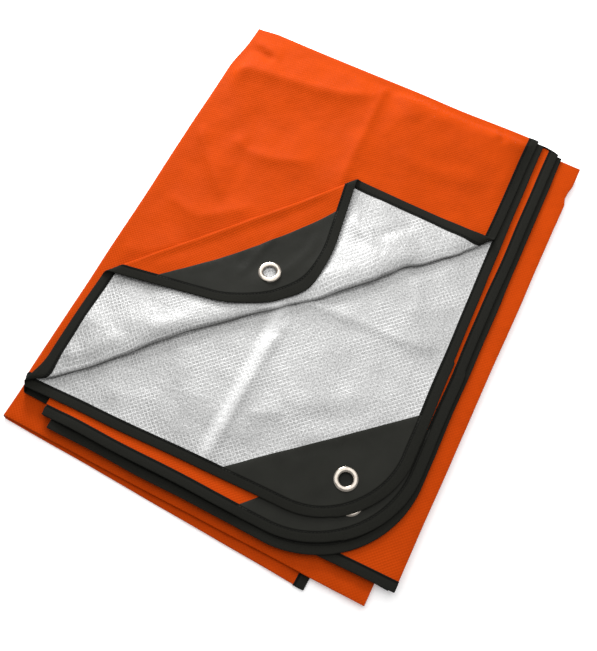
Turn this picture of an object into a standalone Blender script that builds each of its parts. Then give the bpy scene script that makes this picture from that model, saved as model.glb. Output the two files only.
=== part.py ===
"""An emergency foil blanket folded into a pile: one laminated sheet, bound all round with woven
tape, with a corner patch and a grommet at each of its four corners, which lie together on top.

The sheet is folded in quarters, then once more along each side. Its outer folds, its bound edges and
twelve of its sixteen plies are built, each ply at its own height. The corner of the top ply is turned
back over the pile, foil side up, and its tip is folded forward again.

Sizes are in millimetres. A ply has X along the short side of the pile and Y along its long side, with
the folded left edge at X = 0, the folded top edge at Y = 0 and the bound foot at about Y = -500.
"""

import math
from collections import defaultdict, namedtuple

import bmesh
import bpy
from mathutils import Vector
from mathutils.geometry import area_tri, delaunay_2d_cdt

MM = 0.001

SHEET_THICK = 1.0
TAPE_WIDTH = 11.0
TAPE_THICK = 1.0
PATCH_THICK = 1.0
GAP = 0.3
SEAM_GAP = 0.8
LEAST_AREA = 0.005

GROMMET_OUTER = 12.0
GROMMET_HOLE = 6.6
GROMMET_BARREL = 7.8
FLANGE = 0.28
FLANGE_CLEAR = 0.34

TOP_BULGE = 6.0
SECOND_BULGE = 1.2
SIDE_BULGE = 0.78
LEAST_BULGE = 0.15
ARC_STEPS = 8
EDGE_STEPS = 10

# One row for each ply, from the top of the pile down. z is the height of its middle and head the Y of
# its top end. right and foot are its outer edges, at the top and foot ends and at the left and right
# ends. Its left edge runs from left_top to left_foot, and close to the head it is drawn in to left_head.
Ply = namedtuple("Ply", "z head right_top right_foot foot_left foot_right left_head left_top left_foot")
PLIES = {
    1: Ply(18.75, -9.0, 350.5, 359, -491, -481.5, 7.0, 5.0, 1.0),
    2: Ply(16.75, -8.6, 357, 374.5, -494.5, -485, 8.6, 5.0, 1.0),
    3: Ply(14.35, -8.6, 375.5, 385.5, -511, -513, 10.2, 5.0, 31.0),
    4: Ply(11.95, -10.0, 381, 391, -519.5, -523, 11.8, 5.0, 41.0),
    5: Ply(9.95, -12.0, 403, 404.5, -517.5, -510, 11.8, 5.0, 41.0),
    6: Ply(8.6, -12.5, 403, 404.5, -511, -509, 10.2, 5.0, 31.0),
    7: Ply(7.25, -12.5, 396, 399, -499, -509, 8.6, 5.0, 1.0),
    8: Ply(5.9, -12.5, 396, 399, -497, -508, 7.0, 5.0, 1.0),
    9: Ply(4.55, -13.0, 387, 384, -526.5, -530.5, 7.0, 3.0, -4.0),
    12: Ply(3.2, -13.0, 387, 384, -526.5, -530.5, 8.6, 3.0, -4.0),
    13: Ply(1.85, -13.0, 350, 330, -527.5, -544, 8.6, 3.0, -4.0),
    16: Ply(0.5, -9.0, 350, 330, -527.5, -544, 7.0, 3.0, -4.0),
}
DRAWN_FROM = 25.0
DRAWN_TO = 70.0

# Each rounded corner: its radius, how far its patch reaches along the foot and up the side, and where
# its grommet lies, measured from the square corner of the ply.
Corner = namedtuple("Corner", "radius along_foot up_side grommet_in grommet_up")
CORNERS = {
    1: Corner(122, 149.5, 122, 58.3, 49.3),
    2: Corner(110, 148, 128, 52, 49),
    3: Corner(110, 134, 148, 50, 57.5),
    4: Corner(110, 136, 146, 50, 57),
}

# Soft ridges on the two upper plies: ply, both ends, height and half width.
Ridge = namedtuple("Ridge", "ply x0 y0 x1 y1 height width")
RIDGES = (
    Ridge(2, 206, -301, 193, -465, 2.2, 14),
    Ridge(2, 205, -299, 350, -280, 1.8, 12),
    Ridge(1, 150, -72, 155, -150, 1.6, 12),
    Ridge(1, 60, -40, 190, -30, 1.2, 14),
)

# The turned corner. Each crease is a line across the top ply: how far out it lies along the diagonal,
# at a given distance across it, its slope, and the radius of its soft roll.
Crease = namedtuple("Crease", "out across slope radius")
BACK_CREASE = Crease(343.5, 0.0, 0.0, 4.0)
TIP_CREASE = Crease(450.3, -90.0, 0.07, 3.0)
BACK_CREASE_BOW = 4.5
FLAP_REST = 2.0
TIP_REST = 2.3
FLAP_SETTLE = 35.0
TIP_SETTLE = 30.0
ROLL_LEFT = 8.0
DIAGONAL = math.sqrt(0.5)


def clear_scene():
    for item in list(bpy.data.objects):
        bpy.data.objects.remove(item, do_unlink=True)


def lerp(a, b, f):
    return a + (b - a) * f


def smooth(f):
    f = max(0.0, min(1.0, f))
    return f * f * (3 - 2 * f)


# ---------------------------------------------------------------- how the plies lie


def ridge_height(number, x, y):
    """The height that the soft ridges add to a ply at a point."""
    total = 0.0
    for ridge in RIDGES:
        if ridge.ply != number:
            continue
        along = Vector((ridge.x1 - ridge.x0, ridge.y1 - ridge.y0))
        away = Vector((x - ridge.x0, y - ridge.y0))
        f = max(0.0, min(1.0, away.dot(along) / along.length_squared))
        distance = (away - along * f).length
        fade = 1 - abs(2 * f - 1) ** 3
        total = max(total, ridge.height * fade * math.exp(-((distance / ridge.width) ** 2)))
    return total


def flat_ply(number):
    """A function from a point on the ply to its place in the pile."""

    def place(x, y):
        return Vector((x, y, PLIES[number].z + ridge_height(number, x, y)))

    return place


def crease_distance(crease, out, across):
    return (out - crease.out - crease.slope * (across - crease.across)) / math.hypot(1, crease.slope)


def bow(across):
    """The back crease bows out a little at its middle."""
    return BACK_CREASE_BOW * max(0.0, 1 - ((across + 90) / 240) ** 2)


def turned_ply(x, y):
    """The top ply: flat to the back crease, over its roll, back as a flap, and forward at the tip."""
    out = (x - y) * DIAGONAL
    across = (x + y) * DIAGONAL
    base = PLIES[1].z
    height = 0.0
    beyond_tip = crease_distance(TIP_CREASE, out, across)
    if beyond_tip > 0:
        radius = TIP_CREASE.radius
        angle = min(beyond_tip / radius, math.pi)
        past = max(0.0, beyond_tip - math.pi * radius)
        height = radius * (1 - math.cos(angle))
        if past > 0:
            height = TIP_REST + (2 * radius - TIP_REST) * math.exp(-past / TIP_SETTLE)
        back = beyond_tip - radius * math.sin(angle) + past
        out -= back / math.hypot(1, TIP_CREASE.slope)
        across += back * TIP_CREASE.slope / math.hypot(1, TIP_CREASE.slope)
    tangent = BACK_CREASE.out + bow(across)
    beyond = out - tangent
    radius = BACK_CREASE.radius
    if beyond_tip <= 0 and beyond <= 0:
        z = base + ridge_height(1, x, y)
    elif beyond_tip <= 0 and beyond < math.pi * radius:
        angle = beyond / radius
        out = tangent + radius * math.sin(angle)
        z = base + radius * (1 - math.cos(angle))
    else:
        run = beyond - math.pi * radius
        settle = math.exp(-max(run, 0.0) / FLAP_SETTLE)
        out = tangent - run - 2 * bow(across) * (1 - math.exp(-max(run, 0.0) / 60))
        z = base + FLAP_REST + (2 * radius - FLAP_REST) * settle + height
    return Vector(((out + across) * DIAGONAL, (across - out) * DIAGONAL, z))


PLACE = {number: turned_ply if number == 1 else flat_ply(number) for number in PLIES}


# ---------------------------------------------------------------- the outline of a ply


def drawn(y):
    """0 at the head, where the folded left edge is drawn in, and 1 from a little below it."""
    return smooth((-y - DRAWN_FROM) / (DRAWN_TO - DRAWN_FROM))


def left_x(ply, y):
    return lerp(ply.left_head, lerp(ply.left_top, ply.left_foot, -y / 500), drawn(y))


def right_x(ply, y, inset=0.0):
    return lerp(ply.right_top, ply.right_foot, -y / 500) - inset


def foot_y(ply, x, inset=0.0):
    return lerp(ply.foot_left, ply.foot_right, x / 370) + inset


def square_corner(ply, inset):
    """Where the foot and the right side would meet if the corner weren't rounded."""
    x, y = ply.right_foot - inset, ply.foot_right + inset
    for _ in range(4):
        x = right_x(ply, y, inset)
        y = foot_y(ply, x, inset)
    return x, y


def left_edge(ply, foot):
    """Points down the folded left edge, closer together where it is drawn in."""
    near_head = [0, 0.035, 0.052, 0.07, 0.088, 0.108, 0.13]
    steps = near_head + [i / EDGE_STEPS for i in range(2, EDGE_STEPS + 1)]
    ys = [lerp(ply.head, foot, f) for f in steps]
    return [(left_x(ply, y), y) for y in ys]


def rounded_border(number, inset, steps=14):
    """Along the foot, round the corner and up the side, at an inset from the ply's outer edge."""
    ply, radius = PLIES[number], CORNERS[number].radius - inset
    x, y = square_corner(ply, inset)
    centre = (right_x(ply, y + radius, inset) - radius, foot_y(ply, x - radius, inset) + radius)
    start = (left_x(ply, ply.foot_left), foot_y(ply, left_x(ply, ply.foot_left), inset))
    arc = []
    for i in range(steps + 1):
        angle = math.radians(-90 + 90 * i / steps)
        arc.append((centre[0] + radius * math.cos(angle), centre[1] + radius * math.sin(angle)))
    return start, arc, (right_x(ply, ply.head, inset), ply.head)


# ---------------------------------------------------------------- building surfaces


def inside(point, loop):
    crossings = False
    for (x0, y0), (x1, y1) in zip(loop, loop[1:] + loop[:1]):
        if (y0 > point[1]) != (y1 > point[1]):
            crossings ^= point[0] < x0 + (point[1] - y0) * (x1 - x0) / (y1 - y0)
    return crossings


class Surface:
    """A mid-surface that grows by regions and fold strips, welded where their points meet."""

    def __init__(self):
        self.points = []
        self.index = {}
        self.faces = []

    def vertex(self, point):
        key = tuple(round(c * 1000) for c in point)
        if key not in self.index:
            self.index[key] = len(self.points)
            self.points.append(Vector(point))
        return self.index[key]

    def face(self, corners):
        ids = [self.vertex(point) for point in corners]
        ids = [a for a, b in zip(ids, ids[1:] + ids[:1]) if a != b]
        if len(ids) > 2:
            self.faces.append(ids)

    def region(self, place, outline, hole=(), lines=(), extra=()):
        """Fills an outline, less a hole, with triangles that keep the given lines and points."""
        flat, edges = [], []
        for loop in filter(None, (list(outline), list(hole))):
            first = len(flat)
            flat += loop
            edges += [(first + i, first + (i + 1) % len(loop)) for i in range(len(loop))]
        for start, end in lines:
            edges.append((len(flat), len(flat) + 1))
            flat += [start, end]
        flat += [point for point in extra if inside(point, list(outline))]
        found = delaunay_2d_cdt([Vector(p) for p in flat], edges, [], 0, 1e-4)
        for corners in found[2]:
            spots = [found[0][i] for i in corners]
            if area_tri(*spots) < LEAST_AREA:
                continue
            middle = sum(spots, Vector((0, 0))) / 3
            if inside(middle, list(outline)) and not (hole and inside(middle, list(hole))):
                self.face([place(*spot) for spot in spots])

    def strip(self, upper, lower, bulge, steps=ARC_STEPS):
        """A fold from one row of points round to another, bulging out along a vector, or along one
        that varies with Y."""
        rows = []
        for j in range(steps + 1):
            angle = math.pi * j / steps
            row = []
            for a, b in zip(upper, lower):
                middle, half = (a + b) / 2, (a - b) / 2
                out = Vector(bulge(middle.y) if callable(bulge) else bulge)
                row.append(middle + half * math.cos(angle) + out * math.sin(angle))
            rows.append(row)
        rows[0], rows[-1] = list(upper), list(lower)
        for one, two in zip(rows, rows[1:]):
            for i in range(len(one) - 1):
                self.face([one[i], one[i + 1], two[i + 1], two[i]])

    def thickened(self, name, thickness, colour, roughness, metallic):
        """A closed solid of a given thickness about this surface, as an object."""
        mesh = bmesh.new()
        corners = [mesh.verts.new(point) for point in self.points]
        for ids in self.faces:
            mesh.faces.new([corners[i] for i in ids])
        bmesh.ops.recalc_face_normals(mesh, faces=mesh.faces)
        bmesh.ops.triangulate(mesh, faces=[f for f in mesh.faces if len(f.verts) > 3])
        mesh.normal_update()
        mesh.verts.index_update()
        normals = defaultdict(lambda: Vector((0, 0, 0)))
        for face in mesh.faces:
            for loop in face.loops:
                normals[loop.vert.index] += face.normal * loop.calc_angle()
        rim = [edge for edge in mesh.edges if len(edge.link_faces) == 1]
        faces = [[v.index for v in face.verts] for face in mesh.faces]
        walls = []
        for edge in rim:
            loop = edge.link_loops[0]
            walls.append((loop.vert.index, loop.link_loop_next.vert.index))
        places = [v.co.copy() for v in mesh.verts]
        mesh.free()
        solid = bmesh.new()
        half = thickness / 2
        shift = [normals[i].normalized() * half for i in range(len(places))]
        outer = [solid.verts.new((p + s) * MM) for p, s in zip(places, shift)]
        inner = [solid.verts.new((p - s) * MM) for p, s in zip(places, shift)]
        for ids in faces:
            solid.faces.new([outer[i] for i in ids])
            solid.faces.new([inner[i] for i in reversed(ids)])
        for a, b in walls:
            solid.faces.new([outer[b], outer[a], inner[a], inner[b]])
        bmesh.ops.recalc_face_normals(solid, faces=solid.faces)
        return as_object(name, solid, colour, roughness, metallic)


def as_object(name, mesh, colour, roughness, metallic):
    data = bpy.data.meshes.new(name)
    mesh.to_mesh(data)
    mesh.free()
    material = bpy.data.materials.new(name)
    material.use_nodes = True
    shader = material.node_tree.nodes["Principled BSDF"]
    shader.inputs["Base Color"].default_value = (*colour, 1)
    shader.inputs["Roughness"].default_value = roughness
    shader.inputs["Metallic"].default_value = metallic
    data.materials.append(material)
    made = bpy.data.objects.new(name, data)
    bpy.context.scene.collection.objects.link(made)
    return made


# ---------------------------------------------------------------- the sheet


SHEET_INSET = TAPE_WIDTH + SEAM_GAP


def sheet_foot(number):
    """The inset of the sheet at its foot: bound plies stop at the tape, folded ones at the fold."""
    return SHEET_INSET if number <= 8 else 0.0


def sheet_right(number):
    """The inset of the sheet at its right side. Plies 5 to 8 fold there and 9 and 12 end there."""
    return 0.0 if 5 <= number <= 12 else SHEET_INSET


def side_points(number):
    """The left and right edges of a ply's sheet, from the top down."""
    ply = PLIES[number]
    left = left_edge(ply, foot_y(ply, left_x(ply, ply.foot_left), sheet_foot(number)))
    inset = sheet_right(number)
    x, y = square_corner(ply, inset)
    y = foot_y(ply, x, sheet_foot(number))
    rows = [lerp(ply.head, y, i / EDGE_STEPS) for i in range(EDGE_STEPS + 1)]
    return left, [(right_x(ply, row, inset), row) for row in rows]


def between(a, b, steps):
    """The points strictly between two ends."""
    return [tuple(lerp(p, q, i / steps) for p, q in zip(a, b)) for i in range(1, steps)]


def sheet_outline(number):
    left, right = side_points(number)
    foot = between(left[-1], right[-1], EDGE_STEPS)
    if number in CORNERS:
        along, up = patch_ends(number, GAP)
        foot = [p for p in foot if p[0] < along[0] - 1] + [along, up]
        right = [p for p in right if p[1] > up[1] + 1]
    top = between(right[0], left[0], EDGE_STEPS)
    return left + foot + right[::-1] + top


def patch_ends(number, clear):
    """The two ends of the patch's long side, on the ply's foot and side."""
    ply, corner = PLIES[number], CORNERS[number]
    x, y = square_corner(ply, SHEET_INSET)
    along, up = x - corner.along_foot - clear * 1.4, y + corner.up_side + clear * 1.4
    return (along, foot_y(ply, along, SHEET_INSET)), (right_x(ply, up, SHEET_INSET), up)


def left_bulge(upper, lower):
    """How a left fold bulges, which it does less where it is drawn in near the head."""
    depth = (PLIES[upper].z - PLIES[lower].z) / 2 * SIDE_BULGE
    return lambda y: (-depth * lerp(LEAST_BULGE, 1, drawn(y)), 0, 0)


def roll_lines():
    """Lines across the top ply that follow the two creases, close together over each roll."""
    lines = []
    for crease in (BACK_CREASE, TIP_CREASE):
        roll = math.pi * crease.radius
        offsets = [-12, -0.01] + [roll * i / 6 for i in range(1, 6)]
        offsets += [roll + 0.01, roll + 12, roll + 30, roll + 55]
        for offset in offsets:
            row = []
            for across in range(-470, 341, 30):
                out = crease.out + offset + crease.slope * (across - crease.across)
                if crease is BACK_CREASE:
                    out += bow(across)
                row.append(((out + across) * DIAGONAL, (across - out) * DIAGONAL))
            lines += [pair for pair in zip(row, row[1:]) if pair[0][0] > ROLL_LEFT]
    return lines


def grid_points(ply, spacing):
    xs = range(int(ply.left_foot) + spacing, int(ply.right_top), spacing)
    return [(x, y) for x in xs for y in range(-520, -8, spacing)]


def placed(number, points):
    return [PLACE[number](*point) for point in points]


def build_sheet():
    """One laminated sheet: its plies and the folds that join them."""
    surface = Surface()
    for number, ply in PLIES.items():
        outline = sheet_outline(number)
        lines, extra = (), ()
        if number == 1:
            lines = roll_lines()
        if number in (1, 2):
            extra = grid_points(ply, 24)
        if number == 1:
            limit = BACK_CREASE.out - 16
            extra = [p for p in extra if (p[0] - p[1]) * DIAGONAL < limit]
        surface.region(PLACE[number], outline, lines=lines, extra=extra)
    sides = {number: side_points(number) for number in PLIES}
    for upper, lower in ((1, 8), (2, 7), (3, 6), (4, 5), (9, 16)):
        lefts = placed(upper, sides[upper][0]), placed(lower, sides[lower][0])
        surface.strip(*lefts, left_bulge(upper, lower))
    for upper, lower in ((5, 6), (7, 8)):
        depth = (PLIES[upper].z - PLIES[lower].z) / 2
        rights = placed(upper, sides[upper][1]), placed(lower, sides[lower][1])
        surface.strip(*rights, (depth, 0, 0), steps=6)
    for upper, lower in ((9, 12), (13, 16)):
        depth = (PLIES[upper].z - PLIES[lower].z) / 2
        feet = []
        for number in (upper, lower):
            left, right = sides[number]
            ends = [left[-1], *between(left[-1], right[-1], EDGE_STEPS), right[-1]]
            feet.append(placed(number, ends))
        surface.strip(*feet, (0, -depth, 0), steps=6)
    for upper, lower, depth in ((1, 16, TOP_BULGE), (2, 3, SECOND_BULGE)):
        heads = []
        for number in (upper, lower):
            left, right = sides[number]
            head = [left[0], *between(left[0], right[0], EDGE_STEPS)]
            heads.append(placed(number, head + [right[0]] if upper == 1 else head))
        surface.strip(*heads, (0, depth, 0), steps=12 if upper == 1 else 6)
    return surface.thickened("sheet", SHEET_THICK, (0.8, 0.08, 0.006), 0.55, 0.0)


# ---------------------------------------------------------------- the tape


def foot_band(ply):
    """The tape's left and right ends on a ply bound at its foot alone: inner then outer point."""
    ends = []
    for edge in (left_x, right_x):
        x = edge(ply, ply.foot_right if edge is right_x else ply.foot_left)
        ends.append([(x, foot_y(ply, x, TAPE_WIDTH)), (x, foot_y(ply, x))])
    return ends


def side_band(number):
    """The tape's head and foot ends on a ply bound at its side alone: inner then outer point."""
    ply = PLIES[number]
    head, side = ply.head, right_x(ply, ply.foot_right)
    foot = foot_y(ply, side)
    ends = []
    for x, y in ((right_x(ply, head), head), (side, foot)):
        ends.append([(x - TAPE_WIDTH, y), (x, y)])
    return ends


def corner_band(surface, number, lines=(), start_at=None):
    """Tape round the foot, corner and side of a ply. Returns its two ends: inner then outer point."""
    outer_start, outer_arc, outer_end = rounded_border(number, 0.0)
    inner_start, inner_arc, inner_end = rounded_border(number, TAPE_WIDTH)
    if start_at is not None:
        outer_start = (start_at, outer_start[1])
        inner_start = (start_at, inner_start[1])
    outline = [outer_start, *outer_arc, outer_end, inner_end, *inner_arc[::-1], inner_start]
    surface.region(PLACE[number], outline, lines=lines)
    return [inner_start, outer_start], [inner_end, outer_end]


def plain_band(surface, number, one, two):
    surface.region(PLACE[number], [one[0], two[0], two[1], one[1]])


def tape_thickened(surface, name):
    return surface.thickened(name, TAPE_THICK, (0.012, 0.013, 0.011), 0.8, 0.0)


def build_foot_tape():
    """The tape along the feet of plies 8 to 1 and up the sides of plies 2 to 4, as one strip."""
    surface = Surface()
    left, right, head = {}, {}, {}
    for number in (2, 3, 4):
        left[number], head[number] = corner_band(surface, number)
    for number in (5, 6, 7, 8):
        left[number], right[number] = foot_band(PLIES[number])
        plain_band(surface, number, left[number], right[number])
    start = rounded_border(1, TAPE_WIDTH)[0], rounded_border(1, 0.0)[0]
    for upper, lower in ((2, 7), (3, 6), (4, 5)):
        surface.strip(placed(upper, left[upper]), placed(lower, left[lower]), left_bulge(upper, lower))
    flat_start = [Vector((x, y, PLIES[1].z)) for x, y in start]
    surface.strip(flat_start, placed(8, left[8]), left_bulge(1, 8))
    for upper, lower in ((5, 6), (7, 8)):
        depth = (PLIES[upper].z - PLIES[lower].z) / 2
        surface.strip(placed(upper, right[upper]), placed(lower, right[lower]), (depth, 0, 0), steps=6)
    surface.strip(placed(2, head[2]), placed(3, head[3]), (0, SECOND_BULGE, 0), steps=6)
    return tape_thickened(surface, "tape_foot")


def build_side_tape():
    """The tape round the turned corner, up the side of the top ply and on round plies 16 and 13."""
    surface = Surface()
    _, head = corner_band(surface, 1, roll_lines(), left_x(PLIES[1], PLIES[1].foot_left) + 1.5)
    ends = {number: side_band(number) for number in (13, 16)}
    for number, (top, foot) in ends.items():
        plain_band(surface, number, top, foot)
    surface.strip(placed(1, head), placed(16, ends[16][0]), (0, TOP_BULGE, 0), steps=12)
    depth = (PLIES[13].z - PLIES[16].z) / 2
    surface.strip(placed(13, ends[13][1]), placed(16, ends[16][1]), (0, -depth, 0), steps=6)
    return tape_thickened(surface, "tape_side")


# ---------------------------------------------------------------- the patches and grommets


def grommet_spot(number):
    ply, corner = PLIES[number], CORNERS[number]
    x, y = square_corner(ply, 0.0)
    return x - corner.grommet_in, y + corner.grommet_up


def build_patch(number):
    """The two triangles of coated cloth that clasp a corner, as one piece inside the tape."""
    along, up = patch_ends(number, 0.0)
    arc = rounded_border(number, SHEET_INSET)[1]
    x, y = grommet_spot(number)
    hole = []
    for i in range(24):
        angle = 2 * math.pi * i / 24
        radius = GROMMET_BARREL + GAP
        hole.append((x + radius * math.cos(angle), y + radius * math.sin(angle)))
    surface = Surface()
    surface.region(PLACE[number], [along, *arc, up], hole=hole)
    return surface.thickened(f"patch_{number}", PATCH_THICK, (0.016, 0.017, 0.016), 0.6, 0.0)


def build_grommet(number):
    """A spool: a barrel through the patch with a flange on each face."""
    x, y = grommet_spot(number)
    centre = PLACE[number](x, y)
    along = (PLACE[number](x + 1, y) - PLACE[number](x - 1, y)).normalized()
    normal = along.cross(PLACE[number](x, y + 1) - PLACE[number](x, y - 1)).normalized()
    across = normal.cross(along)
    under = PATCH_THICK / 2 + FLANGE_CLEAR
    face = under + FLANGE
    profile = [
        (GROMMET_HOLE, -face), (GROMMET_OUTER, -face), (GROMMET_OUTER, -under), (GROMMET_BARREL, -under),
        (GROMMET_BARREL, under), (GROMMET_OUTER, under), (GROMMET_OUTER, face), (GROMMET_HOLE, face),
    ]
    mesh = bmesh.new()
    rings = []
    for i in range(24):
        angle = 2 * math.pi * i / 24
        away = along * math.cos(angle) + across * math.sin(angle)
        rings.append([mesh.verts.new((centre + away * r + normal * h) * MM) for r, h in profile])
    for one, two in zip(rings, rings[1:] + rings[:1]):
        for i in range(len(profile)):
            j = (i + 1) % len(profile)
            mesh.faces.new([one[i], one[j], two[j], two[i]])
    bmesh.ops.recalc_face_normals(mesh, faces=mesh.faces)
    return as_object(f"grommet_{number}", mesh, (0.62, 0.58, 0.52), 0.25, 1.0)


def centre_on_origin(objects):
    """Moves the pile so that the middle of its underside is the origin."""
    corners = [vertex.co for item in objects for vertex in item.data.vertices]
    lows = [min(c[i] for c in corners) for i in range(3)]
    highs = [max(c[i] for c in corners) for i in range(3)]
    shift = Vector(((lows[0] + highs[0]) / 2, (lows[1] + highs[1]) / 2, lows[2]))
    for item in objects:
        for vertex in item.data.vertices:
            vertex.co -= shift


clear_scene()
pieces = [build_sheet(), build_foot_tape(), build_side_tape()]
for number in CORNERS:
    pieces += [build_patch(number), build_grommet(number)]
centre_on_origin(pieces)
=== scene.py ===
import math
from collections import namedtuple

import bmesh
import bpy
from mathutils import Matrix, Vector, noise
from mathutils.geometry import area_tri, delaunay_2d_cdt


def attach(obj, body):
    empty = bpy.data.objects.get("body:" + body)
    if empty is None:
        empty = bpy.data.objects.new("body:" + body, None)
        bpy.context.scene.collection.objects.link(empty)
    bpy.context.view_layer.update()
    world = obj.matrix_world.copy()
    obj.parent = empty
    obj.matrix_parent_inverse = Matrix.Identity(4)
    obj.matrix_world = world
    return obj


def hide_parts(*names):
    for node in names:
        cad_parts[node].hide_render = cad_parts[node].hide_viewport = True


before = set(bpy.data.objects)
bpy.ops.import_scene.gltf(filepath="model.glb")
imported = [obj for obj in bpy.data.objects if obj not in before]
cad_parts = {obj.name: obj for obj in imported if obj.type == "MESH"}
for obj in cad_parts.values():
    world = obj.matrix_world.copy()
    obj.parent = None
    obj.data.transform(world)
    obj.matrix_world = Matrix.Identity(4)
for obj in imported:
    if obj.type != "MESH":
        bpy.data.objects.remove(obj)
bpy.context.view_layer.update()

# ----------------------------------------------------------------------
# The camera. It looks steeply down on the pile from its bound end, from just under a metre away. Its
# lens is given as the focal length in pixels of a frame 597 px wide.

FRAME_WIDTH_PX = 597
FOCAL_PX = 900
SENSOR = 36.0
AZIMUTH, ELEVATION, ROLL = 25.446, 68.4, 1.226
STAND_OFF = 0.9235
AIM = Vector((0.0098, -0.0381, 0.0))

lens = bpy.data.cameras.new("camera")
lens.sensor_fit = "HORIZONTAL"
lens.sensor_width = SENSOR
lens.lens = SENSOR * FOCAL_PX / FRAME_WIDTH_PX
camera = bpy.data.objects.new("camera", lens)
bpy.context.scene.collection.objects.link(camera)
bpy.context.scene.camera = camera
turn = Matrix.Rotation(math.radians(AZIMUTH), 3, "Z")
turn = turn @ Matrix.Rotation(math.radians(90 - ELEVATION), 3, "X")
turn = turn @ Matrix.Rotation(math.radians(ROLL), 3, "Z")
camera.matrix_world = Matrix.Translation(AIM + turn @ Vector((0, 0, STAND_OFF))) @ turn.to_4x4()

# ----------------------------------------------------------------------
# The light. A white room, a wide soft panel over the folded head and a smaller, stronger one low on
# the left of it, so that every fold is light towards the head and the left and dark beyond.

WORLD_STRENGTH = 0.49
PANEL_AIM = Vector((0.0, 0.05, 0.0))
Panel = namedtuple("Panel", "name place size watts")
PANELS = (
    Panel("overhead", (-0.04, 0.28, 0.90), 1.25, 8.8),
    Panel("left", (-0.78, 0.98, 0.56), 0.5, 26.0),
)

world = bpy.data.worlds.new("room")
world.use_nodes = True
world.node_tree.nodes["Background"].inputs["Color"].default_value = (1, 1, 1, 1)
world.node_tree.nodes["Background"].inputs["Strength"].default_value = WORLD_STRENGTH
bpy.context.scene.world = world
bpy.context.scene.view_settings.view_transform = "Standard"
for panel in PANELS:
    light = bpy.data.lights.new(panel.name, "AREA")
    light.shape = "SQUARE"
    light.size = panel.size
    light.energy = panel.watts
    lamp = bpy.data.objects.new(panel.name, light)
    bpy.context.scene.collection.objects.link(lamp)
    facing = (Vector(panel.place) - PANEL_AIM).to_track_quat("Z", "Y").to_matrix().to_4x4()
    lamp.matrix_world = Matrix.Translation(panel.place) @ facing

# ----------------------------------------------------------------------
# The sheet. Woven plastic cloth, coated orange on one face and faced with aluminised film on the
# other. It is folded in quarters and then once more each way, and the top corner is turned back.

MM = 0.001
PILE_CORNER = Vector((-199.624, 272.906, 0.0))
SHEET_HALF = 0.18
SHEET_UNDER_TAPE = 2.0

# Sizes are in millimetres. A ply has X along the short side of the pile and Y along its long side,
# with the folded left edge at 0, the folded head at 0 and the foot at about -500. One row for each
# ply, from the top of the pile down, gives its height, the Y of its head and its outer edges. The
# left edge is drawn in to left_head close to the head.
Ply = namedtuple("Ply", "z head right_top right_foot foot_left foot_right left_head left_top left_foot")
PLIES = {
    1: Ply(18.75, -9.0, 350.5, 359, -491, -481.5, 7.0, 5.0, 1.0),
    2: Ply(16.75, -8.6, 357, 374.5, -494.5, -485, 8.6, 5.0, 1.0),
    3: Ply(14.35, -8.6, 375.5, 385.5, -511, -513, 10.2, 5.0, 31.0),
    4: Ply(11.95, -10.0, 381, 391, -519.5, -523, 11.8, 5.0, 41.0),
    5: Ply(9.95, -12.0, 403, 404.5, -517.5, -510, 11.8, 5.0, 41.0),
    6: Ply(8.6, -12.5, 403, 404.5, -511, -509, 10.2, 5.0, 31.0),
    7: Ply(7.25, -12.5, 396, 399, -499, -509, 8.6, 5.0, 1.0),
    8: Ply(5.9, -12.5, 396, 399, -497, -508, 7.0, 5.0, 1.0),
    9: Ply(4.55, -13.0, 387, 386, -526.5, -530.5, 7.0, 3.0, -4.0),
    12: Ply(3.2, -13.0, 387, 386, -526.5, -530.5, 8.6, 3.0, -4.0),
    13: Ply(1.85, -13.0, 350, 332, -527.5, -544, 8.6, 3.0, -4.0),
    16: Ply(0.5, -9.0, 350, 332, -527.5, -544, 7.0, 3.0, -4.0),
}
PLY_LENGTH, PLY_WIDTH = 500.0, 370.0
DRAWN_FROM, DRAWN_TO = 25.0, 70.0
EDGE_FADE = 16.0

# Each rounded corner: its radius, how far its patch reaches along the foot and up the side, and where
# its grommet lies, measured from the square corner of the ply.
Corner = namedtuple("Corner", "radius along_foot up_side grommet_in grommet_up")
CORNERS = {
    1: Corner(106, 155, 128, 56.1, 46.6),
    2: Corner(95, 153, 128, 52, 49),
    3: Corner(110, 134, 148, 50.7, 58.2),
    4: Corner(110, 136, 146, 50, 57),
}
GROMMET_BARREL = 7.8
HOLE_SLACK, HOLE_POINTS = 0.6, 48
DIAGONAL = math.sqrt(0.5)

# The turned corner. Each roll is a line across the top ply: how far out it lies along the diagonal
# at a given distance across it, its slope and its radius.
Roll = namedtuple("Roll", "out across slope radius")
BACK_ROLL = Roll(343.2, 0.0, 0.0, 3.0)
TIP_ROLL = Roll(450.3, -90.0, 0.07, 3.0)
# Across the ply: how far the back roll wanders out, how far the flap swells up just behind it, and
# how high the roll stands where it is pressed down.
BOW = (
    (-345, 0), (-315, 6), (-283, 7), (-250, 5), (-210, 1.3), (-180, 0), (-130, 2), (-85, 4.5), (-45, 8),
    (-15, 6.5), (12, 6.5), (30, 4.5), (50, 2.5), (70, 5.5), (90, 5.5), (105, 6.5), (122, 5), (145, 2),
)
SWELL = (
    (-345, 0.3), (-315, 0.5), (-270, 1.2), (-200, 2.4), (-130, 1.8), (-75, 0.6), (-35, 1.2), (10, 2.3),
    (60, 2.4), (90, 1.4), (120, 2.4), (150, 1.0),
)
PRESS = (
    (-345, 0.55), (-300, 0.55), (-260, 0.75), (-210, 1.0), (-150, 1.0), (-110, 0.85), (-80, 0.55),
    (-53, 0.6), (-20, 0.9), (20, 1.0), (45, 0.85), (75, 0.55), (105, 0.55), (145, 0.7),
)
SWELL_AT = 11.0
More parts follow.
